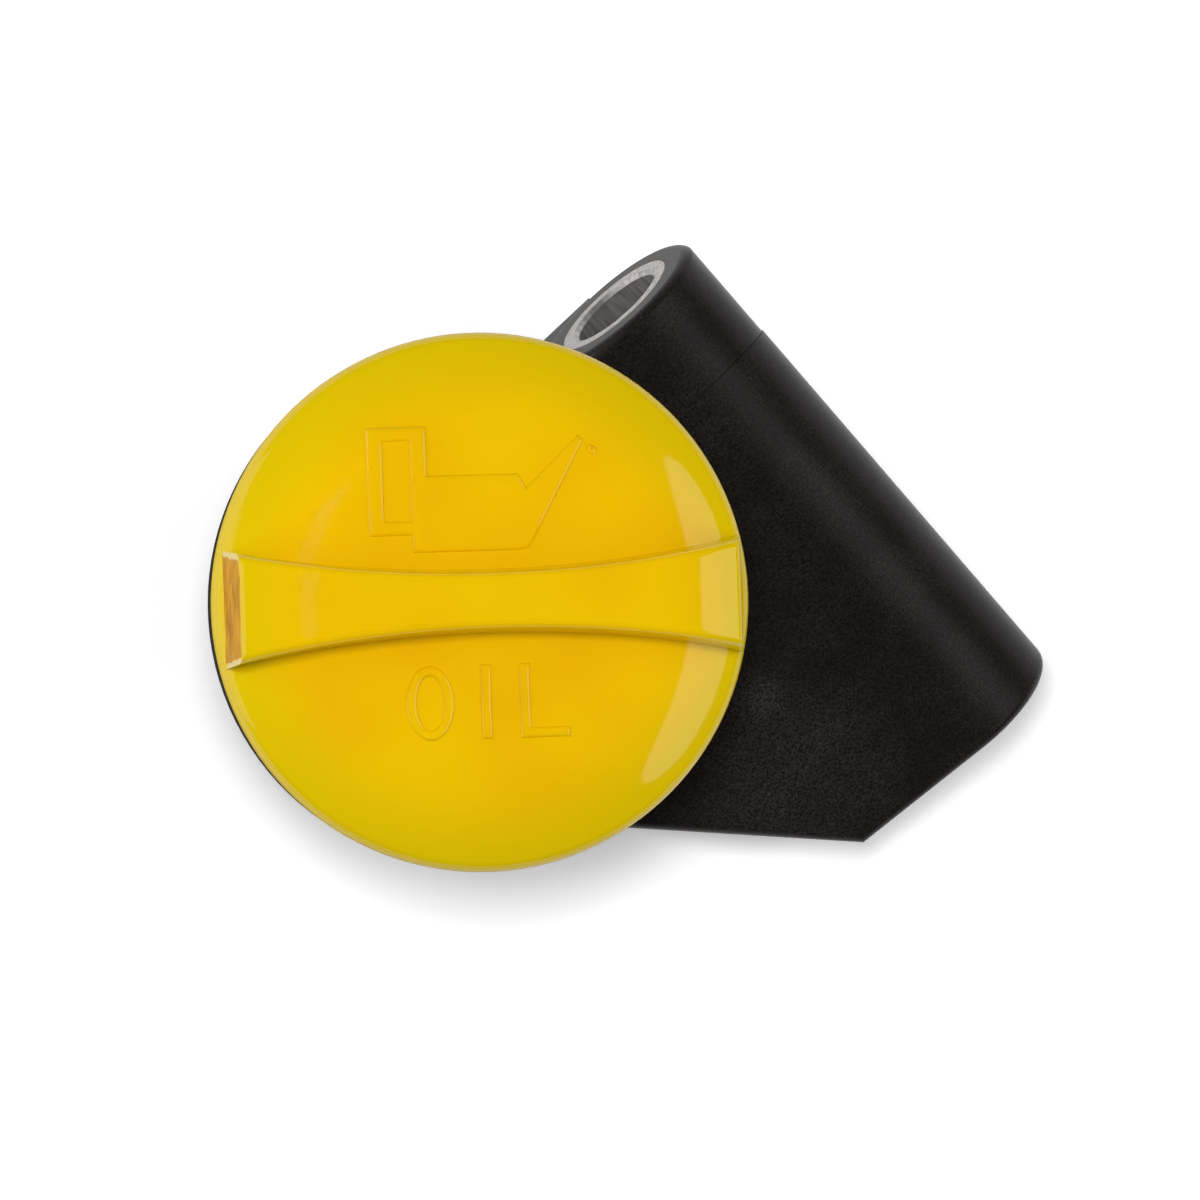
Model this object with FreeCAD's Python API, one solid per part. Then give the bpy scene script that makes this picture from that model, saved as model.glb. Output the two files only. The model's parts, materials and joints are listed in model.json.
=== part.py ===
"""Oil filler tube: moulded neck with a bolt boss, steel sleeve, outlet ring and quarter-turn cap.

Millimetres, +Z up along the neck, +X towards the bolt boss, origin at the centre of the outlet's end face.
"""
import FreeCAD
import Part
import math
import os

V = FreeCAD.Vector
Z_AXIS = V(0, 0, 1)

# Bolt boss and its steel sleeve
SLEEVE_BORE = 9.0
SLEEVE_WALL = 1.5
BOSS_WALL = 2.85
BOSS_LENGTH = 53.45
BOSS_RISE = 11.8
BOSS_OFFSET = 29.5
BOSS_BELOW_NECK = 42.9
SLEEVE_CHAMFER = 0.4
SEAM_FROM_TOP = 11.4
SEAM_STEP = 0.12

# Neck, collar and outlet
TUBE_OD = 38.9
NECK_BORE = 32.4
NECK_HEIGHT = 36.0
COLLAR_OD = 47.4
COLLAR_HEIGHT = 8.0
COLLAR_ROUND = 0.8
OUTLET_OD = 34.0
OUTLET_LENGTH = 8.0
OUTLET_BORE = 25.0
RING_SECTION = 2.6
GROOVE_DEPTH = 2.1
GROOVE_WIDTH = 3.4
GROOVE_HEIGHT = 3.6

# Web between neck and boss
WEB_BACK = 9.2
WEB_BACK_RISE = 5.0
WEB_SLOPE = 16.0
WEB_EDGE_ANGLE = 43.2
WEB_WALL = 2.8
WEB_STEP = 0.3
EDGE_ROUND = 1.2
RIB_WIDTH = 2.2
RIB_PLACES = (-29.5, -21.5, -13.5)

# Bayonet in the neck
LIP_BORE = 26.0
LIP_THICKNESS = 3.0
LUG_THICKNESS = 2.2
LUG_ANGLE = 44.0
SLOT_ANGLE = 52.0
LOCK_TURN = 75.0
STOP_ANGLE = 8.0

# Cap
CAP_OD = 48.0
CAP_RIM = 1.4
CAP_EDGE_ROUND = 1.8
CAP_CROWN = 29.0
CAP_SHOULDER = 17.0
CAP_ROOF = 2.6
CAP_ANGLE = -41.2
PLUG_WALL = 2.2
PLUG_DEPTH = 8.0
GRIP_RISE = 6.0
GRIP_LENGTH = 46.4
GRIP_END_WIDTH = 10.6
GRIP_WAIST = 6.2
GRIP_DRAFT = 7.5
GRIP_ROUND = 0.8
SEAL_WIDTH = 4.0
SEAL_HEIGHT = 1.6
SEAL_REBATE = 1.3

# Clearances
RING_GAP = 0.02
PLUG_GAP = 0.3
LUG_GAP = 0.25
SEAL_GAP = 0.05
STOP_TURN_GAP = 1.0

SLEEVE_R = SLEEVE_BORE / 2 + SLEEVE_WALL
BOSS_R = SLEEVE_R + BOSS_WALL
RISE = math.radians(BOSS_RISE)
BOSS_AXIS = V(0, math.cos(RISE), math.sin(RISE))
BOSS_FRONT = V(0, -math.sin(RISE), math.cos(RISE))
BOSS_BASE = V(BOSS_OFFSET, -BOSS_BELOW_NECK * math.cos(RISE), BOSS_R * math.cos(RISE))
SLOPE = math.radians(WEB_SLOPE)
WEB_FRONT = BOSS_FRONT * math.cos(SLOPE) - V(1, 0, 0) * math.sin(SLOPE)
WEB_SIDE = V(1, 0, 0) * math.cos(SLOPE) + BOSS_FRONT * math.sin(SLOPE)
EDGE = math.radians(WEB_EDGE_ANGLE)
WEB_LEFT = -math.cos(EDGE) * TUBE_OD / 2
BACK = math.radians(WEB_BACK_RISE)
WEB_UNDER = V(0, math.sin(BACK), -math.cos(BACK))
FAR = 200.0


def tube(outer, inner, low, high):
    """Upright ring about the neck axis.

    Args:
        outer: outer diameter.
        inner: bore diameter, 0 for a solid disc.
        low: height of the lower face.
        high: height of the upper face.

    Returns:
        The ring's solid.
    """
    body = Part.makeCylinder(outer / 2, high - low, V(0, 0, low))
    if inner == 0:
        return body
    return body.cut(Part.makeCylinder(inner / 2, high - low, V(0, 0, low)))


def sector(outer, inner, low, high, centre, width):
    """Part of an upright ring between two angles.

    Args:
        outer: outer diameter.
        inner: bore diameter.
        low: height of the lower face.
        high: height of the upper face.
        centre: middle angle in degrees.
        width: angle covered in degrees.

    Returns:
        The sector's solid.
    """
    start = V(inner / 2, 0, low)
    end = V(outer / 2, 0, low)
    wire = Part.makePolygon([start, end, V(outer / 2, 0, high), V(inner / 2, 0, high), start])
    solid = Part.Face(wire).revolve(V(0, 0, 0), Z_AXIS, width)
    solid.rotate(V(0, 0, 0), Z_AXIS, centre - width / 2)
    return solid


def half_space(point, normal):
    """Large block that fills the side of a plane away from its normal.

    Args:
        point: a point on the plane.
        normal: unit vector out of the block.

    Returns:
        The block's solid.
    """
    block = Part.makeBox(2 * FAR, 2 * FAR, FAR, V(-FAR, -FAR, -FAR))
    turn = FreeCAD.Rotation(Z_AXIS, normal)
    block.Placement = FreeCAD.Placement(point, turn)
    return block


def boss_cylinder(radius, start, length):
    """Cylinder on the bolt axis.

    Args:
        radius: cylinder radius.
        start: distance of its lower face from the boss's seat.
        length: length along the bolt axis.

    Returns:
        The cylinder's solid.
    """
    return Part.makeCylinder(radius, length, BOSS_BASE + BOSS_AXIS * start, BOSS_AXIS)


def web_block(inset):
    """Web between neck and boss, bounded by its walls' planes.

    Args:
        inset: distance that every wall is moved inwards.

    Returns:
        The web's solid, which reaches below the back when it is inset.
    """
    out = V(-math.cos(EDGE), -math.sin(EDGE), 0)
    block = Part.makeBox(BOSS_OFFSET - WEB_LEFT, FAR, FAR, V(WEB_LEFT, -FAR / 2, 0))
    if inset == 0:
        block = block.common(half_space(V(0, 0, WEB_BACK), WEB_UNDER))
    block = block.common(half_space(BOSS_BASE, WEB_SIDE))
    block = block.common(half_space(BOSS_BASE + WEB_FRONT * (BOSS_R - inset), WEB_FRONT))
    block = block.common(half_space(BOSS_BASE + BOSS_AXIS * inset, BOSS_AXIS * -1))
    block = block.common(half_space(BOSS_BASE + BOSS_AXIS * (BOSS_LENGTH - WEB_STEP - inset), BOSS_AXIS))
    return block.common(half_space(out * (TUBE_OD / 2 - inset), out))


def rounded_web():
    """Web with its front wall's outer edges rounded.

    Returns:
        The rounded solid.
    """
    web = web_block(0)
    front = BOSS_BASE + WEB_FRONT * BOSS_R
    picked = []
    for edge in web.Edges:
        middle = edge.valueAt((edge.FirstParameter + edge.LastParameter) / 2)
        on_front = abs((middle - front) * WEB_FRONT) < 0.01
        on_side = abs((middle - BOSS_BASE) * WEB_SIDE) < 0.01 or middle.x < WEB_LEFT + 0.01
        if on_front and not on_side:
            picked.append(edge)
    return web.makeFillet(EDGE_ROUND, picked)


def make_body():
    """Moulded neck, collar, web and bolt boss in one piece.

    Returns:
        The body's solid.
    """
    boss = boss_cylinder(BOSS_R, 0, BOSS_LENGTH)
    boss = boss.makeFillet(EDGE_ROUND, [e for e in boss.Edges if e.Closed and len(e.Vertexes) == 1])
    seam = BOSS_BASE + BOSS_AXIS * (BOSS_LENGTH - SEAM_FROM_TOP)
    skin = boss_cylinder(BOSS_R + 1, 0, FAR).cut(boss_cylinder(BOSS_R - SEAM_STEP, 0, FAR))
    boss = boss.cut(skin.cut(half_space(seam, V(0, 1, 0))))
    shell = boss.fuse(rounded_web())

    core = web_block(WEB_WALL).cut(boss_cylinder(BOSS_R, -FAR / 2, FAR))
    core = core.cut(tube(TUBE_OD, 0, -FAR, FAR))
    for place in RIB_PLACES:
        core = core.cut(Part.makeBox(FAR, RIB_WIDTH, FAR, V(-FAR / 2, place - RIB_WIDTH / 2, -FAR / 2)))
    shell = shell.cut(core)

    neck = tube(TUBE_OD, 0, OUTLET_LENGTH, NECK_HEIGHT)
    collar = tube(COLLAR_OD, 0, NECK_HEIGHT - COLLAR_HEIGHT, NECK_HEIGHT)
    collar = collar.makeFillet(COLLAR_ROUND, [e for e in collar.Edges if e.Closed and len(e.Vertexes) == 1])
    outlet = tube(OUTLET_OD, 0, 0, OUTLET_LENGTH)
    body = shell.fuse([neck, collar, outlet])

    lip_low = NECK_HEIGHT - LIP_THICKNESS
    taper = (NECK_BORE - OUTLET_BORE) / 2
    body = body.cut(tube(OUTLET_BORE, 0, 0, NECK_HEIGHT))
    body = body.cut(Part.makeCone(OUTLET_BORE / 2, NECK_BORE / 2, taper, V(0, 0, OUTLET_LENGTH)))
    body = body.cut(tube(NECK_BORE, 0, OUTLET_LENGTH + taper, lip_low))
    body = body.cut(tube(LIP_BORE, 0, lip_low, NECK_HEIGHT))
    groove_floor = OUTLET_OD - 2 * GROOVE_DEPTH
    body = body.cut(tube(OUTLET_OD + 2, groove_floor, GROOVE_HEIGHT, GROOVE_HEIGHT + GROOVE_WIDTH))
    body = body.cut(boss_cylinder(SLEEVE_R, -1, BOSS_LENGTH + 2))
    reach = LUG_ANGLE / 2 + STOP_TURN_GAP + STOP_ANGLE / 2
    for half in (CAP_ANGLE, CAP_ANGLE + 180):
        body = body.cut(sector(NECK_BORE, LIP_BORE - 1, lip_low, NECK_HEIGHT, half, SLOT_ANGLE))
        for place in (reach, -LOCK_TURN - reach):
            stop = sector(NECK_BORE + 1, LIP_BORE, lip_low - LUG_THICKNESS, lip_low, half + place, STOP_ANGLE)
            body = body.fuse(stop)
    return body.removeSplitter()


def make_sleeve():
    """Steel sleeve pressed into the boss.

    Returns:
        The sleeve's solid.
    """
    sleeve = boss_cylinder(SLEEVE_R, 0, BOSS_LENGTH).cut(boss_cylinder(SLEEVE_BORE / 2, 0, BOSS_LENGTH))
    inner = [e for e in sleeve.Edges if len(e.Vertexes) == 1 and abs(e.Curve.Radius - SLEEVE_BORE / 2) < 0.01]
    return sleeve.makeChamfer(SLEEVE_CHAMFER, inner)


def make_ring():
    """Rubber ring in the outlet's groove.

    Returns:
        The ring's solid.
    """
    floor = OUTLET_OD / 2 - GROOVE_DEPTH
    middle = V(0, 0, GROOVE_HEIGHT + GROOVE_WIDTH / 2)
    return Part.makeTorus(floor + RING_GAP + RING_SECTION / 2, RING_SECTION / 2, middle)


def grip_wire(height, half_length, half_end, half_waist):
    """Outline of the waisted grip at one height.

    Args:
        height: height of the outline.
        half_length: half of the grip's length.
        half_end: half of its width at the ends.
        half_waist: half of its width in the middle.

    Returns:
        The closed wire, along X.
    """
    corners = [V(sx * half_length, sy * half_end, height) for sx, sy in ((-1, -1), (1, -1), (1, 1), (-1, 1))]
    near = Part.Arc(corners[0], V(0, -half_waist, height), corners[1]).toShape()
    right = Part.makeLine(corners[1], corners[2])
    far = Part.Arc(corners[2], V(0, half_waist, height), corners[3]).toShape()
    left = Part.makeLine(corners[3], corners[0])
    return Part.Wire([near, right, far, left])


def shoulder_point(crown, top, turn):
    """Point on the shoulder that falls away from a flat crown.

    Args:
        crown: half of the crown's width.
        top: height of the crown.
        turn: slope at the point, in radians.

    Returns:
        The point in the XZ plane.
    """
    return V(crown + CAP_SHOULDER * math.sin(turn), 0, top - CAP_SHOULDER * (1 - math.cos(turn)))


def grip_crown(crest, low):
    """Block under the grip's top, which is flat in the middle and falls at both ends like the cap's face.

    Args:
        crest: height of the flat middle.
        low: height of the block's lower face.

    Returns:
        The block's solid.
    """
    crown = CAP_CROWN / 2
    turn = math.asin((CAP_OD / 2 - crown) / CAP_SHOULDER)
    arc = [shoulder_point(crown, crest, t) for t in (0, turn / 2, turn)]
    back = [V(-p.x, 0, p.z) for p in arc]
    outline = [
        Part.makeLine(back[0], arc[0]),
        Part.Arc(*arc).toShape(),
        Part.makeLine(arc[2], V(arc[2].x, 0, low)),
        Part.makeLine(V(arc[2].x, 0, low), V(back[2].x, 0, low)),
        Part.makeLine(V(back[2].x, 0, low), back[2]),
        Part.Arc(back[2], back[1], back[0]).toShape(),
    ]
    block = Part.Face(Part.Wire(outline)).extrude(V(0, 2 * CAP_OD, 0))
    block.translate(V(0, -CAP_OD, 0))
    return block


def make_cap():
    """Domed cap with grip, plug and two bayonet lugs.

    Returns:
        The cap's solid.
    """
    low = NECK_HEIGHT + SEAL_HEIGHT - SEAL_REBATE
    rim = low + CAP_RIM
    radius = CAP_OD / 2
    crown = CAP_CROWN / 2
    meet = math.asin((radius - CAP_EDGE_ROUND - crown) / (CAP_SHOULDER - CAP_EDGE_ROUND))
    top = rim + CAP_SHOULDER - (CAP_SHOULDER - CAP_EDGE_ROUND) * math.cos(meet)
    join = shoulder_point(crown, top, meet)
    edge = (meet + math.pi / 2) / 2
    bulge = V(radius - CAP_EDGE_ROUND * (1 - math.sin(edge)), 0, rim + CAP_EDGE_ROUND * math.cos(edge))
    outline = [
        Part.makeLine(V(0, 0, low), V(radius, 0, low)),
        Part.makeLine(V(radius, 0, low), V(radius, 0, rim)),
        Part.Arc(V(radius, 0, rim), bulge, join).toShape(),
        Part.Arc(join, shoulder_point(crown, top, meet / 2), V(crown, 0, top)).toShape(),
        Part.makeLine(V(crown, 0, top), V(0, 0, top)),
        Part.makeLine(V(0, 0, top), V(0, 0, low)),
    ]
    disc = Part.Face(Part.Wire(outline)).revolve(V(0, 0, 0), Z_AXIS, 360)

    crest = top + GRIP_RISE
    lean = math.tan(math.radians(GRIP_DRAFT)) * (crest - rim)
    ends = (GRIP_LENGTH / 2, GRIP_END_WIDTH / 2, GRIP_WAIST / 2)
    foot = grip_wire(rim, *ends)
    head = grip_wire(crest, ends[0] - lean, ends[1] - lean * 0.5, ends[2] - lean * 0.5)
    grip = Part.makeLoft([foot, head], True, True)
    grip = grip.common(grip_crown(crest, rim))
    grip = grip.makeFillet(GRIP_ROUND, [e for e in grip.Edges if e.BoundBox.ZMin > rim + 0.1])

    plug_d = LIP_BORE - 2 * PLUG_GAP
    plug_low = NECK_HEIGHT - PLUG_DEPTH
    cap = disc.fuse(grip).fuse(tube(plug_d, 0, plug_low, low))
    cap = cap.cut(tube(plug_d - 2 * PLUG_WALL, 0, plug_low, top - CAP_ROOF - 1.0))
    seal_d = plug_d + 2 * SEAL_WIDTH + 4 * SEAL_GAP
    cap = cap.cut(tube(seal_d, plug_d, low, low + SEAL_REBATE))
    lug_top = NECK_HEIGHT - LIP_THICKNESS - LUG_GAP
    for half_turn in (0, 180):
        lug = sector(NECK_BORE - 4 * LUG_GAP, plug_d - 1, lug_top - LUG_THICKNESS, lug_top, half_turn, LUG_ANGLE)
        cap = cap.fuse(lug)
    cap = cap.removeSplitter()
    cap.rotate(V(0, 0, 0), Z_AXIS, CAP_ANGLE)
    return cap


def make_seal():
    """Flat rubber seal under the cap.

    Returns:
        The seal's solid.
    """
    inner = LIP_BORE - 2 * PLUG_GAP + 2 * SEAL_GAP
    return tube(inner + 2 * SEAL_WIDTH, inner, NECK_HEIGHT, NECK_HEIGHT + SEAL_HEIGHT)


def main():
    """Builds every node and writes it as a STEP file."""
    os.makedirs("parts", exist_ok=True)
    nodes = {
        "filler_body": make_body(),
        "bolt_sleeve": make_sleeve(),
        "outlet_ring": make_ring(),
        "filler_cap": make_cap(),
        "cap_seal": make_seal(),
    }
    for name, shape in nodes.items():
        solids = shape.Solids
        print(name, "solids", len(solids), "valid", shape.isValid(), "volume", round(shape.Volume, 1))
        solids[0].exportStep("parts/" + name + ".step")


main()
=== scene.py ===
"""Studio scene of the oil filler tube.

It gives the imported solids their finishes, and the cap its raised marks and its gate scar.
Metres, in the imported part's own frame: +Z up along the neck, +X towards the bolt boss.
"""
import json
import logging
import math
from dataclasses import dataclass, field
from enum import Enum
from typing import Any, Callable, Protocol

import bpy
from mathutils import Matrix, Vector, noise

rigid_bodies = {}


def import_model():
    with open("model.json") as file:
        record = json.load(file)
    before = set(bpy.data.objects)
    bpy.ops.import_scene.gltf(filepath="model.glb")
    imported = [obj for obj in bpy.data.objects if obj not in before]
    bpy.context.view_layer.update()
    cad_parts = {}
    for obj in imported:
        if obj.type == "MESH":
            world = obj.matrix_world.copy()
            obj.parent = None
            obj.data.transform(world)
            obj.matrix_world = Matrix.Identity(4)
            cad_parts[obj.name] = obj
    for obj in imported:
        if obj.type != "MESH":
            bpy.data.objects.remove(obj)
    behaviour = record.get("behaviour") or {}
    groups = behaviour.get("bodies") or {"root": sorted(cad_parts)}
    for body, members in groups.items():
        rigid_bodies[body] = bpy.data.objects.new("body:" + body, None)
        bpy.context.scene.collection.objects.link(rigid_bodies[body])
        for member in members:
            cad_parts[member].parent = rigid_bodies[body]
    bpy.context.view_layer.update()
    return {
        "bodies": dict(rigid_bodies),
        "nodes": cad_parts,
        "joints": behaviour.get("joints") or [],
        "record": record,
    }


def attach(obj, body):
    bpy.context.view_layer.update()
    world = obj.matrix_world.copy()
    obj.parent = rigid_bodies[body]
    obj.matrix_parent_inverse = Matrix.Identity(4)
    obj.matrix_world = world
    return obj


LOG = logging.getLogger("oil_filler_tube")
MM = 0.001
CAP_NODE = "filler_cap"
CAP_BODY = "cap"
WHITE = "#ffffff"
# Turn of the grip about the neck, shared by the marks and the gate scar
GRIP_TURN_DEGREES = -41.2
# Slack for comparing places on the flat marks
SLACK_MM = 0.001
# A Mix node's colour sockets, which share their names with those of its other types
MIX_FIRST, MIX_SECOND, MIX_RESULT = 6, 7, 2


class LampShape(Enum):
    """Outlines of a studio lamp."""

    BOX = "RECTANGLE"
    ROUND = "ELLIPSE"


class Finish(Protocol):
    """A finish that can build its material."""

    def build(self) -> bpy.types.Material:
        """Builds the material."""


def linear(hex_colour: str) -> tuple[float, float, float, float]:
    """Turns an sRGB hex colour into linear light.

    Args:
        hex_colour: six hex digits after a hash sign.

    Returns:
        Linear red, green and blue, with alpha 1.
    """
    parts = [int(hex_colour[i:i + 2], 16) / 255 for i in (1, 3, 5)]
    red, green, blue = (
        c / 12.92 if c <= 0.04045 else ((c + 0.055) / 1.055) ** 2.4 for c in parts)
    return (red, green, blue, 1.0)


def add_node(material: bpy.types.Material, kind: str, settings: dict[str, Any] | None = None,
             inputs: dict[str | int, Any] | None = None) -> bpy.types.ShaderNode:
    """Adds one node with its settings, values and links.

    Args:
        material: material that gets the node.
        kind: node type's identifier.
        settings: attributes set on the node.
        inputs: socket name or number to a value, or to an output socket that is linked.

    Returns:
        The new node.
    """
    tree = material.node_tree
    node = tree.nodes.new(kind)
    for name, value in (settings or {}).items():
        setattr(node, name, value)
    for name, value in (inputs or {}).items():
        socket = node.inputs[name]
        if isinstance(value, bpy.types.NodeSocket):
            tree.links.new(value, socket)
        else:
            socket.default_value = value
    return node


def empty_material(name: str) -> bpy.types.Material:
    """Makes a node material with no nodes in it.

    Args:
        name: the finish's name.

    Returns:
        The material.
    """
    material = bpy.data.materials.new(name)
    material.use_nodes = True
    material.node_tree.nodes.clear()
    return material


def set_ramp(ramp: bpy.types.ShaderNode, places: tuple[float, float], colours: tuple[str, str]) -> None:
    """Gives a colour ramp its two end stops.

    Args:
        ramp: the colour ramp node.
        places: places of the first and the last stop.
        colours: hex colours of the two stops.
    """
    for element, place, colour in zip(ramp.color_ramp.elements, places, colours):
        element.position = place
        element.color = linear(colour)


@dataclass(frozen=True)
class GlassFilledNylon:
    """Black glass-filled nylon as moulded.

    A dark satin skin, with pale fibre specks in faint patches, a small rubbed grey scuff on the web,
    and a broad paler patch on the lower web that is painted sheen.
    """

    dark: str = "#110d0c"
    pale: str = "#5a5452"
    patch_mm: float = 5.0
    patch_band: tuple[float, float] = (0.38, 0.7)
    patch_amount: tuple[float, float] = (0.14, 0.27)
    speck_mm: float = 0.22
    speck_band: tuple[float, float] = (0.36, 0.76)
    # The first spot is a rubbed grey scuff; the second, broad one is painted sheen that lightens the
    # lower web
    scuffs_and_sheen_mm: tuple[tuple[float, float, float, float], ...] = (
        (15.0, -25.3, 17.0, 3.6),
        (12.0, -33.0, 14.5, 15.0),
    )
    scuff_and_sheen_amounts: tuple[float, ...] = (0.34, 0.21)
    grit_mm: float = 0.22
    grit_depth_mm: float = 0.012
    grit_strength: float = 0.5
    grain_roughness: float = 0.6
    roughness_bare: float = 0.35
    roughness_speck: float = 0.3
    roughness_dull: float = 1.0
    dull_side: tuple[float, float, float] = (-0.72, 0.68, 0.0)
    dull_from_mm: float = 4.0
    dull_to_mm: float = 12.0
    refraction: float = 1.53
    gloss: float = 0.085

    def build(self) -> bpy.types.Material:
        """Builds the material.

        Returns:
            The finished material.
        """
        material = empty_material("glass-filled nylon")
        place = add_node(material, "ShaderNodeTexCoord").outputs["Object"]
        patch = add_node(material, "ShaderNodeTexNoise", {}, {
            "Vector": place, "Scale": 1 / (self.patch_mm * MM), "Detail": 4.0})
        gather = add_node(material, "ShaderNodeMapRange", {}, {
            "Value": patch.outputs["Fac"],
            "From Min": self.patch_band[0], "From Max": self.patch_band[1],
            "To Min": self.patch_amount[0], "To Max": self.patch_amount[1]}).outputs["Result"]
        # Pale spots on the web: a rubbed grey scuff, then a broad painted sheen over the lower web
        for (x, y, z, size), strength in zip(self.scuffs_and_sheen_mm, self.scuff_and_sheen_amounts):
            away = add_node(material, "ShaderNodeVectorMath", {"operation": "DISTANCE"}, {
                0: place, 1: (x * MM, y * MM, z * MM)})
            scuff_and_sheen = add_node(material, "ShaderNodeMapRange", {"interpolation_type": "SMOOTHSTEP"}, {
                "Value": away.outputs["Value"], "From Max": size * MM,
                "To Min": strength, "To Max": 0.0})
            gather = add_node(material, "ShaderNodeMath", {"operation": "ADD"}, {
                0: gather, 1: scuff_and_sheen.outputs["Result"]}).outputs["Value"]
        # Fibre ends are far finer than a pixel, so the specks are drawn coarse enough to show
        speck = add_node(material, "ShaderNodeTexNoise", {}, {
            "Vector": place, "Scale": 1 / (self.speck_mm * MM), "Detail": 3.0,
            "Roughness": self.grain_roughness})
        shown = add_node(material, "ShaderNodeMapRange", {}, {
            "Value": speck.outputs["Fac"],
            "From Min": self.speck_band[0], "From Max": self.speck_band[1]})
        amount = add_node(material, "ShaderNodeMath", {"operation": "MULTIPLY"}, {
            0: gather, 1: shown.outputs["Result"]})
        colour = add_node(material, "ShaderNodeValToRGB", {}, {"Fac": amount.outputs["Value"]})
        set_ramp(colour, (0.0, 1.0), (self.dark, self.pale))
        rough = add_node(material, "ShaderNodeMapRange", {}, {
            "Value": amount.outputs["Value"],
            "To Min": self.roughness_bare, "To Max": self.roughness_speck})
        grit = add_node(material, "ShaderNodeTexNoise", {}, {
            "Vector": place, "Scale": 1 / (self.grit_mm * MM), "Detail": 2.0,
            "Roughness": self.grain_roughness})
        bump = add_node(material, "ShaderNodeBump", {}, {
            "Height": grit.outputs["Fac"], "Strength": self.grit_strength,
            "Distance": self.grit_depth_mm * MM})
        # The collar's side away from the boss is taken as dull, so that its edge stays black
        beside = add_node(material, "ShaderNodeVectorMath", {"operation": "DOT_PRODUCT"}, {
            0: place, 1: self.dull_side})
        dull = add_node(material, "ShaderNodeMapRange", {"interpolation_type": "SMOOTHSTEP"}, {
            "Value": beside.outputs["Value"],
            "From Min": self.dull_from_mm * MM, "From Max": self.dull_to_mm * MM,
            "To Min": rough.outputs["Result"], "To Max": self.roughness_dull})
        shader = add_node(material, "ShaderNodeBsdfPrincipled", {}, {
            "Base Color": colour.outputs["Color"], "Roughness": dull.outputs["Result"],
            "IOR": self.refraction, "Specular IOR Level": self.gloss,
            "Normal": bump.outputs["Normal"]})
        add_node(material, "ShaderNodeOutputMaterial", {}, {"Surface": shader.outputs["BSDF"]})
        return material


@dataclass(frozen=True)
class YellowAcetal:
    """Yellow acetal from a polished mould.

    Glossy and warm in the middle, and matt on the rim's upright wall; the greener tint towards the thin
    rim is painted glow, standing in for light passing through the rim.
    """

    base: str = "#e8bb00"
    warm: str = "#e4b100"
    rim: str = "#d9bb00"
    rim_glow_from_mm: float = 16.0
    rim_glow_to_mm: float = 23.5
    cloud_mm: float = 14.0
    cloud_band: tuple[float, float] = (0.35, 0.65)
    ripple_mm: float = 7.0
    ripple_depth_mm: float = 0.01
    ripple_strength: float = 0.4
    roughness: float = 0.07
    edge_roughness: float = 0.8
    edge_from_mm: float = 23.88
    edge_to_mm: float = 23.96
    refraction: float = 1.48
    gloss: float = 0.26

    def build(self) -> bpy.types.Material:
        """Builds the material.

        Returns:
            The finished material.
        """
        material = empty_material("yellow acetal")
        place = add_node(material, "ShaderNodeTexCoord").outputs["Object"]
        cloud = add_node(material, "ShaderNodeTexNoise", {}, {
            "Vector": place, "Scale": 1 / (self.cloud_mm * MM), "Detail": 1.0})
        body = add_node(material, "ShaderNodeValToRGB", {}, {"Fac": cloud.outputs["Fac"]})
        set_ramp(body, self.cloud_band, (self.warm, self.base))
        flat = add_node(material, "ShaderNodeVectorMath", {"operation": "MULTIPLY"}, {
            0: place, 1: (1, 1, 0)})
        radius = add_node(material, "ShaderNodeVectorMath", {"operation": "LENGTH"}, {
            0: flat.outputs["Vector"]})
        # Painted glow: the colour turns greener towards the thin rim, standing in for light that passes
        # through it
        thin = add_node(material, "ShaderNodeMapRange", {"interpolation_type": "SMOOTHSTEP"}, {
            "Value": radius.outputs["Value"],
            "From Min": self.rim_glow_from_mm * MM, "From Max": self.rim_glow_to_mm * MM})
        colour = add_node(material, "ShaderNodeMix", {"data_type": "RGBA"}, {
            "Factor": thin.outputs["Result"],
            MIX_FIRST: body.outputs["Color"], MIX_SECOND: linear(self.rim)})
        rough = add_node(material, "ShaderNodeMapRange", {}, {
            "Value": radius.outputs["Value"],
            "From Min": self.edge_from_mm * MM, "From Max": self.edge_to_mm * MM,
            "To Min": self.roughness, "To Max": self.edge_roughness})
        ripple = add_node(material, "ShaderNodeTexNoise", {}, {
            "Vector": place, "Scale": 1 / (self.ripple_mm * MM), "Detail": 0.0})
        bump = add_node(material, "ShaderNodeBump", {}, {
            "Height": ripple.outputs["Fac"], "Strength": self.ripple_strength,
            "Distance": self.ripple_depth_mm * MM})
        shader = add_node(material, "ShaderNodeBsdfPrincipled", {}, {
            "Base Color": colour.outputs[MIX_RESULT], "Roughness": rough.outputs["Result"],
            "IOR": self.refraction, "Specular IOR Level": self.gloss,
            "Normal": bump.outputs["Normal"]})
        add_node(material, "ShaderNodeOutputMaterial", {}, {"Surface": shader.outputs["BSDF"]})
        return material


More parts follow.
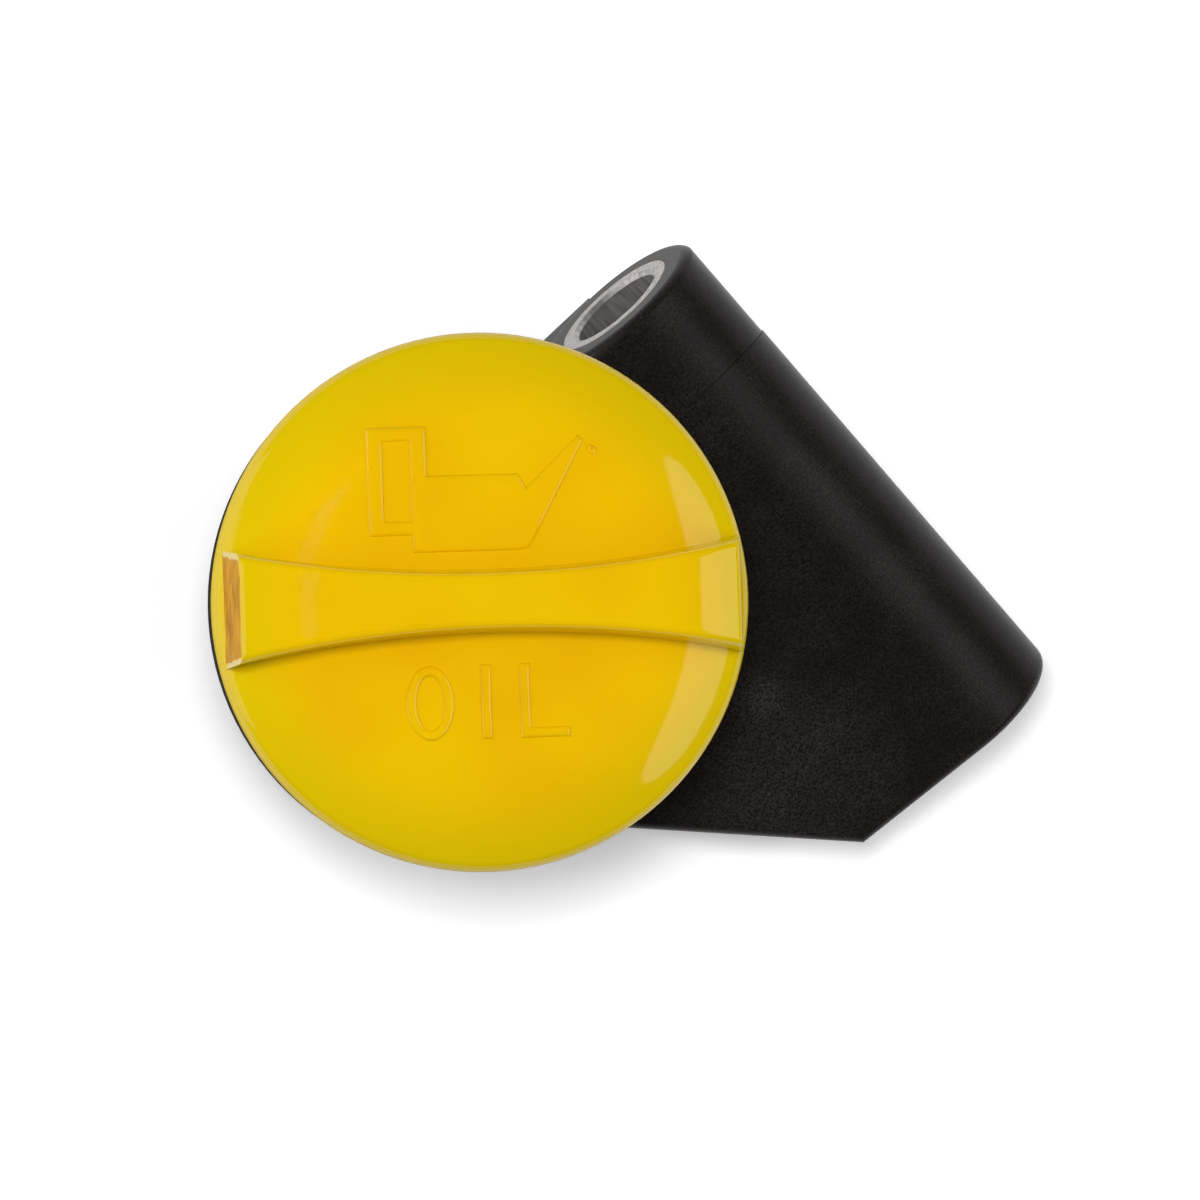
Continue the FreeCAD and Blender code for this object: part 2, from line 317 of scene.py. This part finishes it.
@dataclass(frozen=True)
class CutGate:
    """Acetal where the runner was cut off: a torn, tan and matt face."""

    pale: str = "#d69a12"
    dark: str = "#ae730c"
    tear_mm: float = 0.9
    tear_stretch: float = 4.0
    tear_band: tuple[float, float] = (0.35, 0.6)
    tear_roughness: float = 0.6
    tear_depth_mm: float = 0.1
    tear_strength: float = 0.8
    roughness: float = 0.5
    refraction: float = 1.48
    gloss: float = 0.06

    def build(self) -> bpy.types.Material:
        """Builds the material.

        Returns:
            The finished material.
        """
        material = empty_material("cut acetal gate")
        place = add_node(material, "ShaderNodeTexCoord").outputs["Object"]
        along = add_node(material, "ShaderNodeMapping", {"vector_type": "TEXTURE"}, {
            "Vector": place, "Rotation": (0, 0, math.radians(GRIP_TURN_DEGREES)),
            "Scale": (1, self.tear_stretch, 1)})
        tear = add_node(material, "ShaderNodeTexNoise", {}, {
            "Vector": along.outputs["Vector"], "Scale": 1 / (self.tear_mm * MM), "Detail": 5.0,
            "Roughness": self.tear_roughness})
        colour = add_node(material, "ShaderNodeValToRGB", {}, {"Fac": tear.outputs["Fac"]})
        set_ramp(colour, self.tear_band, (self.dark, self.pale))
        bump = add_node(material, "ShaderNodeBump", {}, {
            "Height": tear.outputs["Fac"], "Strength": self.tear_strength,
            "Distance": self.tear_depth_mm * MM})
        shader = add_node(material, "ShaderNodeBsdfPrincipled", {}, {
            "Base Color": colour.outputs["Color"], "Roughness": self.roughness,
            "IOR": self.refraction, "Specular IOR Level": self.gloss,
            "Normal": bump.outputs["Normal"]})
        add_node(material, "ShaderNodeOutputMaterial", {}, {"Surface": shader.outputs["BSDF"]})
        return material


@dataclass(frozen=True)
class PhosphatedSteel:
    """Drawn steel tube with a thin phosphate coat: a dull grey metal with faint lengthwise lines."""

    pale: str = "#bbb6b3"
    dark: str = "#97928f"
    line_mm: float = 0.45
    line_stretch: float = 12.0
    line_band: tuple[float, float] = (0.35, 0.65)
    bare: float = 0.75
    roughness: float = 0.46

    def build(self) -> bpy.types.Material:
        """Builds the material.

        Returns:
            The finished material.
        """
        material = empty_material("phosphated steel")
        place = add_node(material, "ShaderNodeTexCoord").outputs["Object"]
        drawn = add_node(material, "ShaderNodeMapping", {}, {
            "Vector": place, "Scale": (1.0, 1 / self.line_stretch, 1.0)})
        lines = add_node(material, "ShaderNodeTexNoise", {}, {
            "Vector": drawn.outputs["Vector"], "Scale": 1 / (self.line_mm * MM),
            "Detail": 3.0})
        colour = add_node(material, "ShaderNodeValToRGB", {}, {"Fac": lines.outputs["Fac"]})
        set_ramp(colour, self.line_band, (self.dark, self.pale))
        shader = add_node(material, "ShaderNodeBsdfPrincipled", {}, {
            "Base Color": colour.outputs["Color"], "Metallic": self.bare,
            "Roughness": self.roughness})
        add_node(material, "ShaderNodeOutputMaterial", {}, {"Surface": shader.outputs["BSDF"]})
        return material


@dataclass(frozen=True)
class NitrileRubber:
    """Black nitrile rubber as moulded: dull, with a faint bloom."""

    dark: str = "#121212"
    bloom: str = "#1e1e1f"
    bloom_mm: float = 2.5
    bloom_band: tuple[float, float] = (0.4, 0.7)
    roughness: float = 0.62
    refraction: float = 1.52

    def build(self) -> bpy.types.Material:
        """Builds the material.

        Returns:
            The finished material.
        """
        material = empty_material("nitrile rubber")
        place = add_node(material, "ShaderNodeTexCoord").outputs["Object"]
        cloud = add_node(material, "ShaderNodeTexNoise", {}, {
            "Vector": place, "Scale": 1 / (self.bloom_mm * MM), "Detail": 3.0})
        colour = add_node(material, "ShaderNodeValToRGB", {}, {"Fac": cloud.outputs["Fac"]})
        set_ramp(colour, self.bloom_band, (self.dark, self.bloom))
        shader = add_node(material, "ShaderNodeBsdfPrincipled", {}, {
            "Base Color": colour.outputs["Color"], "Roughness": self.roughness,
            "IOR": self.refraction})
        add_node(material, "ShaderNodeOutputMaterial", {}, {"Surface": shader.outputs["BSDF"]})
        return material


@dataclass(frozen=True)
class WhitePaper:
    """White paper sweep: matt, plain white to the camera, grey where the part shades it."""

    colour: str = "#f4f4f4"
    lift: float = 0.28
    far_lift: float = 0.95
    near_mm: float = 140.0
    far_mm: float = 420.0

    def build(self) -> bpy.types.Material:
        """Builds the material.

        Returns:
            The finished material.
        """
        material = empty_material("white paper")
        path = add_node(material, "ShaderNodeLightPath")
        mirrored = add_node(material, "ShaderNodeMath", {"operation": "MAXIMUM"}, {
            0: path.outputs["Is Glossy Ray"], 1: path.outputs["Is Transmission Ray"]})
        seen = add_node(material, "ShaderNodeMath", {"operation": "MAXIMUM"}, {
            0: path.outputs["Is Camera Ray"], 1: mirrored.outputs["Value"]})
        place = add_node(material, "ShaderNodeTexCoord").outputs["Object"]
        away = add_node(material, "ShaderNodeVectorMath", {"operation": "LENGTH"}, {0: place})
        level = add_node(material, "ShaderNodeMapRange", {"interpolation_type": "SMOOTHSTEP"}, {
            "Value": away.outputs["Value"],
            "From Min": self.near_mm * MM, "From Max": self.far_mm * MM,
            "To Min": self.lift, "To Max": self.far_lift})
        strength = add_node(material, "ShaderNodeMath", {"operation": "MULTIPLY"}, {
            0: seen.outputs["Value"], 1: level.outputs["Result"]})
        paper = add_node(material, "ShaderNodeBsdfDiffuse", {}, {"Color": linear(self.colour)})
        glow = add_node(material, "ShaderNodeEmission", {}, {"Strength": strength.outputs["Value"]})
        both = add_node(material, "ShaderNodeAddShader", {}, {
            0: paper.outputs["BSDF"], 1: glow.outputs["Emission"]})
        add_node(material, "ShaderNodeOutputMaterial", {}, {"Surface": both.outputs["Shader"]})
        return material


def deselect_all() -> None:
    """Deselects every object."""
    bpy.ops.object.select_all(action="DESELECT")


def activate(piece: bpy.types.Object) -> None:
    """Makes one object the only selected and the active one."""
    deselect_all()
    piece.select_set(True)
    bpy.context.view_layer.objects.active = piece


def dress(piece: bpy.types.Object, material: bpy.types.Material) -> None:
    """Gives a piece one material in place of those it has."""
    piece.data.materials.clear()
    piece.data.materials.append(material)


@dataclass
class CadPiece:
    """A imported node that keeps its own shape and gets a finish."""

    node: str
    finish: Finish

    def build(self, frame: dict[str, Any]) -> bpy.types.Material:
        """Dresses the node.


        Returns:
            The material that the node got.
        """
        material = self.finish.build()
        dress(frame["nodes"][self.node], material)
        LOG.info("%s dressed", self.node)
        return material


def select_faces(piece: bpy.types.Object, wanted: Callable[[Vector], bool]) -> None:
    """Selects, in edit mode, the faces whose middle passes a test.

    Args:
        piece: the mesh object, in edit mode.
        wanted: test on a face's middle.
    """
    bpy.ops.mesh.select_all(action="DESELECT")
    bpy.ops.object.mode_set(mode="OBJECT")
    for face in piece.data.polygons:
        face.select = wanted(face.center)
    bpy.ops.object.mode_set(mode="EDIT")


def select_edges(piece: bpy.types.Object, wanted: Callable[[Vector], bool]) -> None:
    """Selects, in edit mode, the edges whose two ends pass a test.

    Args:
        piece: the mesh object, in edit mode.
        wanted: test on a vertex's place.
    """
    bpy.ops.mesh.select_all(action="DESELECT")
    bpy.ops.object.mode_set(mode="OBJECT")
    points = piece.data.vertices
    for edge in piece.data.edges:
        edge.select = all(wanted(points[i].co) for i in edge.vertices)
    bpy.ops.object.mode_set(mode="EDIT")
    bpy.ops.mesh.select_mode(type="EDGE")


def add_modifier(piece: bpy.types.Object, kind: str, **settings: Any) -> None:
    """Adds a modifier to the active object and applies it.

    Args:
        piece: the active mesh object.
        kind: modifier type.
        settings: attributes set on the modifier.
    """
    modifier = piece.modifiers.new(kind.lower(), kind)
    for name, value in settings.items():
        setattr(modifier, name, value)
    bpy.ops.object.modifier_apply(modifier=modifier.name)


@dataclass
class CapMarks:
    """Raised oil-can sign and the word OIL on the cap's face.

    Places are in millimetres along and across the grip.
    """

    sunk: float = 0.16
    wall: float = 0.2
    wall_rise: float = 0.13
    brow: float = 0.17
    brow_rise: float = 0.08
    skin: float = 0.12
    start_height: float = 60.0
    columns: tuple[float, ...] = (-10.35, -8.7, -6.5, -4.8, 3.2)
    rows: tuple[float, ...] = (15.75, 14.25, 11.35, 7.4, 5.9, 4.35)
    spout_root: tuple[tuple[float, float], ...] = (
        (3.9, 10.1), (3.95, 7.4), (4.0, 5.9), (4.05, 4.55))
    spout_tip: tuple[tuple[float, float], ...] = (
        (8.6, 14.65), (8.92, 14.4), (8.98, 14.35), (9.3, 14.1))
    spout_throw: float = 20.0
    drop: tuple[float, float] = (9.85, 13.15)
    drop_size: tuple[float, float] = (0.55, 0.66)
    drop_taper: float = 0.45
    drop_tilt_degrees: float = 32.0
    drop_points: int = 16
    letter_middle: float = -8.85
    letter_height: float = 6.85
    stroke: float = 1.15
    ring_place: float = -5.3
    ring_width: float = 4.5
    ring_points: int = 40
    bar_place: float = -0.3
    corner_place: float = 3.15
    corner_width: float = 4.6
    merge: float = 1e-4
    levels: int = 2
    smooth_degrees: float = 60.0

    def outside_can(self, place: Vector) -> bool:
        """Tells whether a cell of the sign's grid lies outside the can.

        Args:
            place: the cell's middle.

        Returns:
            True in the handle's hole, above the body and under the handle.
        """
        left, right = self.columns[2], self.columns[3]
        in_hole = self.columns[1] < place.x < left and self.rows[3] < place.y < self.rows[1]
        above_body = place.x > right and place.y > self.rows[2]
        under_handle = place.x < left and place.y < self.rows[4]
        return in_hole or above_body or under_handle

    def can(self) -> bpy.types.Object:
        """Models the oil can from a grid with its cells set to the sign's lines.

        Returns:
            The flat can.
        """
        deselect_all()
        across, down = len(self.columns) - 1, len(self.rows) - 1
        bpy.ops.mesh.primitive_grid_add(x_subdivisions=across, y_subdivisions=down, size=2)
        piece = bpy.context.active_object
        for point in piece.data.vertices:
            column = round((point.co.x + 1) / 2 * across)
            row = round((1 - point.co.y) / 2 * down)
            point.co = (self.columns[column], self.rows[row], 0)
        bpy.ops.object.mode_set(mode="EDIT")
        bpy.ops.mesh.select_mode(type="FACE")
        select_faces(piece, self.outside_can)
        bpy.ops.mesh.delete(type="FACE")
        end = self.columns[-1] - SLACK_MM
        for line in (self.spout_root, self.spout_tip):
            select_edges(piece, lambda p, edge=end: p.x > edge)
            bpy.ops.mesh.extrude_region_move(
                TRANSFORM_OT_translate={"value": (self.spout_throw, 0, 0)})
            bpy.ops.object.mode_set(mode="OBJECT")
            thrown = [v for v in piece.data.vertices if v.co.x > end + self.spout_throw / 2]
            thrown.sort(key=lambda v: -v.co.y)
            for point, place in zip(thrown, line):
                point.co = (place[0], place[1], 0)
            end = min(place[0] for place in line) - SLACK_MM
            bpy.ops.object.mode_set(mode="EDIT")
        bpy.ops.object.mode_set(mode="OBJECT")
        return piece

    def oil_drop(self) -> bpy.types.Object:
        """Models the drop under the spout's tip.

        Returns:
            The flat drop.
        """
        deselect_all()
        bpy.ops.mesh.primitive_circle_add(vertices=self.drop_points, radius=1, fill_type="TRIFAN")
        piece = bpy.context.active_object
        tilt = Matrix.Rotation(math.radians(self.drop_tilt_degrees), 3, "Z")
        for point in piece.data.vertices:
            taper = 1 - self.drop_taper * max(point.co.y, 0)
            place = tilt @ Vector((
                point.co.x * self.drop_size[0] * taper, point.co.y * self.drop_size[1], 0))
            point.co = (place.x + self.drop[0], place.y + self.drop[1], 0)
        return piece

    def letter_o(self) -> bpy.types.Object:
        """Models the letter O as an oval ring.

        Returns:
            The flat letter.
        """
        deselect_all()
        bpy.ops.mesh.primitive_circle_add(vertices=self.ring_points, radius=1, fill_type="NOTHING")
        piece = bpy.context.active_object
        half = Vector((self.ring_width / 2, self.letter_height / 2, 0))
        bpy.ops.object.mode_set(mode="EDIT")
        bpy.ops.mesh.select_all(action="SELECT")
        bpy.ops.transform.resize(value=(half.x, half.y, 1))
        bpy.ops.mesh.extrude_region_move()
        bpy.ops.transform.resize(value=(1 - self.stroke / half.x, 1 - self.stroke / half.y, 1))
        bpy.ops.mesh.select_all(action="SELECT")
        bpy.ops.transform.translate(value=(self.ring_place, self.letter_middle, 0))
        bpy.ops.object.mode_set(mode="OBJECT")
        return piece

    def letter_i(self) -> bpy.types.Object:
        """Models the letter I as one upright stroke.

        Returns:
            The flat letter.
        """
        deselect_all()
        bpy.ops.mesh.primitive_plane_add(size=1)
        piece = bpy.context.active_object
        bpy.ops.object.mode_set(mode="EDIT")
        bpy.ops.mesh.select_all(action="SELECT")
        bpy.ops.transform.resize(value=(self.stroke, self.letter_height, 1))
        bpy.ops.transform.translate(value=(self.bar_place, self.letter_middle, 0))
        bpy.ops.object.mode_set(mode="OBJECT")
        return piece

    def letter_l(self) -> bpy.types.Object:
        """Models the letter L: its corner, then the upright and the foot extruded from it.

        Returns:
            The flat letter.
        """
        deselect_all()
        bpy.ops.mesh.primitive_plane_add(size=self.stroke)
        piece = bpy.context.active_object
        low = self.letter_middle - self.letter_height / 2 + self.stroke / 2
        half = self.stroke / 2 - SLACK_MM
        bpy.ops.object.mode_set(mode="EDIT")
        select_edges(piece, lambda p: p.y > half)
        bpy.ops.mesh.extrude_region_move(
            TRANSFORM_OT_translate={"value": (0, self.letter_height - self.stroke, 0)})
        select_edges(piece, lambda p: p.x > half and p.y < self.stroke)
        bpy.ops.mesh.extrude_region_move(
            TRANSFORM_OT_translate={"value": (self.corner_width - self.stroke, 0, 0)})
        bpy.ops.mesh.select_all(action="SELECT")
        bpy.ops.transform.translate(value=(self.corner_place, low, 0))
        bpy.ops.object.mode_set(mode="OBJECT")
        return piece

    def raise_from(self, piece: bpy.types.Object, name: str,
                   face: bpy.types.Object) -> bpy.types.Object:
        """Lays a flat mark on the cap's face and gives it its height.

        Args:
            piece: the flat mark, in millimetres.
            name: the finished piece's name.
            face: the cap.

        Returns:
            The raised mark, in metres.
        """
        activate(piece)
        piece.name = name
        bpy.ops.object.mode_set(mode="EDIT")
        bpy.ops.mesh.select_mode(type="FACE")
        bpy.ops.mesh.select_all(action="SELECT")
        bpy.ops.mesh.remove_doubles(threshold=self.merge)
        bpy.ops.mesh.normals_make_consistent(inside=False)
        bpy.ops.object.mode_set(mode="OBJECT")
        if sum(f.normal.z for f in piece.data.polygons) < 0:
            piece.data.flip_normals()
        bpy.ops.object.mode_set(mode="EDIT")
        bpy.ops.mesh.select_all(action="SELECT")
        bpy.ops.mesh.inset(thickness=self.wall, depth=self.sunk + self.wall_rise)
        bpy.ops.mesh.inset(thickness=self.brow, depth=self.brow_rise)
        bpy.ops.object.mode_set(mode="OBJECT")
        add_modifier(piece, "SUBSURF", subdivision_type="SIMPLE",
                     levels=self.levels, render_levels=self.levels)
        lift = [(point.co.z - self.sunk) * MM for point in piece.data.vertices]
        place = Matrix.Rotation(math.radians(GRIP_TURN_DEGREES), 4, "Z") @ Matrix.Scale(MM, 4)
        piece.data.transform(Matrix.Translation((0, 0, self.start_height * MM)) @ place)
        add_modifier(piece, "SHRINKWRAP", target=face, wrap_method="PROJECT", use_project_z=True,
                     use_negative_direction=True, use_positive_direction=False)
        for point, height in zip(piece.data.vertices, lift):
            point.co.z += height
        add_modifier(piece, "SOLIDIFY", thickness=self.skin * MM, offset=-1.0)
        bpy.ops.object.shade_smooth_by_angle(angle=math.radians(self.smooth_degrees))
        return piece

    def build(self, frame: dict[str, Any], finish: bpy.types.Material) -> None:
        """Builds, dresses and attaches every mark.

        Args:
            finish: the cap's material.
        """
        cap = frame["nodes"][CAP_NODE]
        flats = {
            "oil_can_sign": self.can(),
            "oil_drop_sign": self.oil_drop(),
            "letter_o": self.letter_o(),
            "letter_i": self.letter_i(),
            "letter_l": self.letter_l(),
        }
        for name, flat in flats.items():
            mark = self.raise_from(flat, name, cap)
            dress(mark, finish)
            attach(mark, CAP_BODY)
            LOG.info("%s raised", name)


@dataclass
class GateScar:
    """Torn patch on the grip's end where the runner was cut off.

    Sizes are in millimetres along and across the grip.
    """

    foot: float = -23.2
    foot_height: float = 37.7
    lean_degrees: float = 7.5
    low: float = 38.8
    high: float = 45.5
    half_width: float = 4.8
    narrowing: float = 0.09
    proud: float = 0.05
    rough: float = 0.09
    ragged: float = 0.25
    top_waves: float = 2.5
    tear_waves: tuple[float, float] = (0.5, 2.2)
    tear_fractal: tuple[float, float, int] = (1.0, 2.0, 4)
    seeds: tuple[float, float, float] = (3.1, 7.7, 1.7)
    fade_power: int = 6
    thickness: float = 0.3
    cells: tuple[int, int] = (48, 28)
    smooth_degrees: float = 40.0

    def build(self, finish: bpy.types.Material) -> None:
        """Models, dresses and attaches the patch.

        Args:
            finish: the torn face's material.
        """
        deselect_all()
        bpy.ops.mesh.primitive_grid_add(
            x_subdivisions=self.cells[0], y_subdivisions=self.cells[1], size=2)
        piece = bpy.context.active_object
        piece.name = "gate_scar"
        turn = Matrix.Rotation(math.radians(GRIP_TURN_DEGREES), 3, "Z")
        lean = math.tan(math.radians(self.lean_degrees))
        top_seed, side_seed, tear_seed = self.seeds
        for point in piece.data.vertices:
            side, level = point.co.x, (point.co.y + 1) / 2
            height = self.low + (self.high - self.low) * level
            height += self.ragged * level * noise.noise(Vector((side * self.top_waves, top_seed, 0)))
            half = self.half_width - self.narrowing * (height - self.low)
            across = side * (half + self.ragged * noise.noise(Vector((side_seed, height, side))))
            spot = Vector((across * self.tear_waves[0], height * self.tear_waves[1], tear_seed))
            tear = noise.fractal(spot, *self.tear_fractal)
            fade = (1 - abs(side) ** self.fade_power) * (1 - abs(2 * level - 1) ** self.fade_power)
            out = self.proud * fade + self.rough * tear * fade
            along = self.foot + lean * (height - self.foot_height) - out
            point.co = turn @ Vector((along, -across, height)) * MM
        activate(piece)
        add_modifier(piece, "SOLIDIFY", thickness=self.thickness * MM, offset=-1.0)
        bpy.ops.object.shade_smooth_by_angle(angle=math.radians(self.smooth_degrees))
        dress(piece, finish)
        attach(piece, CAP_BODY)
        LOG.info("gate_scar torn")


@dataclass
class Softbox:
    """One studio lamp, rectangular or elliptical, that points at the part.

    Its side and lean are degrees from the camera's axis, and its sizes are metres.
    """

    name: str
    side: float
    lean: float
    watts: float
    width: float
    height: float
    shape: LampShape = LampShape.BOX
    mirrored: bool = True
    distance: float = 0.55

    def build(self, right: Vector, up: Vector, back: Vector, target: Vector) -> None:
        """Hangs the lamp by two angles from the camera's axis.

        Args:
            right: the camera's right.
            up: the camera's up.
            back: direction from the part to the camera.
            target: point that the lamp faces.
        """
        side, lean = math.radians(self.side), math.radians(self.lean)
        away = (back * math.cos(side) * math.cos(lean) + right * math.sin(side) * math.cos(lean)
                + up * math.sin(lean))
        lamp = bpy.data.lights.new(self.name, "AREA")
        lamp.shape = self.shape.value
        lamp.size, lamp.size_y = self.width, self.height
        lamp.energy = self.watts
        holder = bpy.data.objects.new(self.name, lamp)
        toward = away.cross(up).normalized()
        turn = Matrix((-toward, away.cross(-toward), away)).transposed()
        holder.matrix_world = Matrix.Translation(target + away * self.distance) @ turn.to_4x4()
        holder.visible_glossy = self.mirrored
        bpy.context.collection.objects.link(holder)


@dataclass
class Studio:
    """Paper floor, lamps and the camera at the photograph's angle."""

    right: tuple[float, float, float] = (0.72233, -0.67809, 0.1358)
    up: tuple[float, float, float] = (0.68256, 0.73061, 0.01756)
    back: tuple[float, float, float] = (-0.11112, 0.08001, 0.99058)
    place_mm: tuple[float, float, float] = (-56.415, 39.187, 611.09)
    lens_mm: float = 194.794
    sensor_mm: float = 36.0
    target_mm: tuple[float, float, float] = (8.0, -5.0, 25.0)
    floor_mm: float = 2400.0
    lamps: list[Softbox] = field(default_factory=lambda: [
        Softbox("right softbox", 56, -3, 1.15, 0.27, 0.64, LampShape.ROUND),
        Softbox("left softbox", -65, 4, 1.65, 0.4, 0.7),
        Softbox("front softbox", -1.5, 5.5, 1.9, 0.1, 0.1, mirrored=False),
    ])
    sky: float = 0.08
    clip_m: tuple[float, float] = (0.01, 20.0)

    def camera_matrix(self) -> Matrix:
        """Gives the camera's place and turn.

        Returns:
            The world matrix.
        """
        turn = Matrix((self.right, self.up, self.back)).transposed()
        return Matrix.Translation(Vector(self.place_mm) * MM) @ turn.to_4x4()

    def build(self) -> None:
        """Builds floor, world, lamps and camera."""
        scene = bpy.context.scene
        deselect_all()
        bpy.ops.mesh.primitive_plane_add(size=self.floor_mm * MM, location=(0, 0, 0))
        floor = bpy.context.active_object
        floor.name = "paper floor"
        dress(floor, WhitePaper().build())

        world = bpy.data.worlds.new("studio")
        world.use_nodes = True
        background = world.node_tree.nodes["Background"]
        background.inputs["Color"].default_value = linear(WHITE)
        background.inputs["Strength"].default_value = self.sky
        scene.world = world

        axes = [Vector(axis) for axis in (self.right, self.up, self.back)]
        for lamp in self.lamps:
            lamp.build(*axes, Vector(self.target_mm) * MM)

        lens = bpy.data.cameras.new("camera")
        lens.lens, lens.sensor_width = self.lens_mm, self.sensor_mm
        lens.clip_start, lens.clip_end = self.clip_m
        camera = bpy.data.objects.new("camera", lens)
        camera.matrix_world = self.camera_matrix()
        bpy.context.collection.objects.link(camera)
        scene.camera = camera
        scene.view_settings.view_transform = "Standard"
        LOG.info("studio ready")


def main() -> None:
    """Builds the scene in order."""
    logging.basicConfig(level=logging.INFO, format="%(name)s: %(message)s")
    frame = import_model()
    pieces = [
        CadPiece("filler_body", GlassFilledNylon()),
        CadPiece("bolt_sleeve", PhosphatedSteel()),
        CadPiece("outlet_ring", NitrileRubber()),
        CadPiece("cap_seal", NitrileRubber()),
    ]
    for piece in pieces:
        piece.build(frame)
    yellow = CadPiece(CAP_NODE, YellowAcetal()).build(frame)
    CapMarks().build(frame, yellow)
    GateScar().build(CutGate().build())
    Studio().build()


if __name__ == "__main__":
    main()
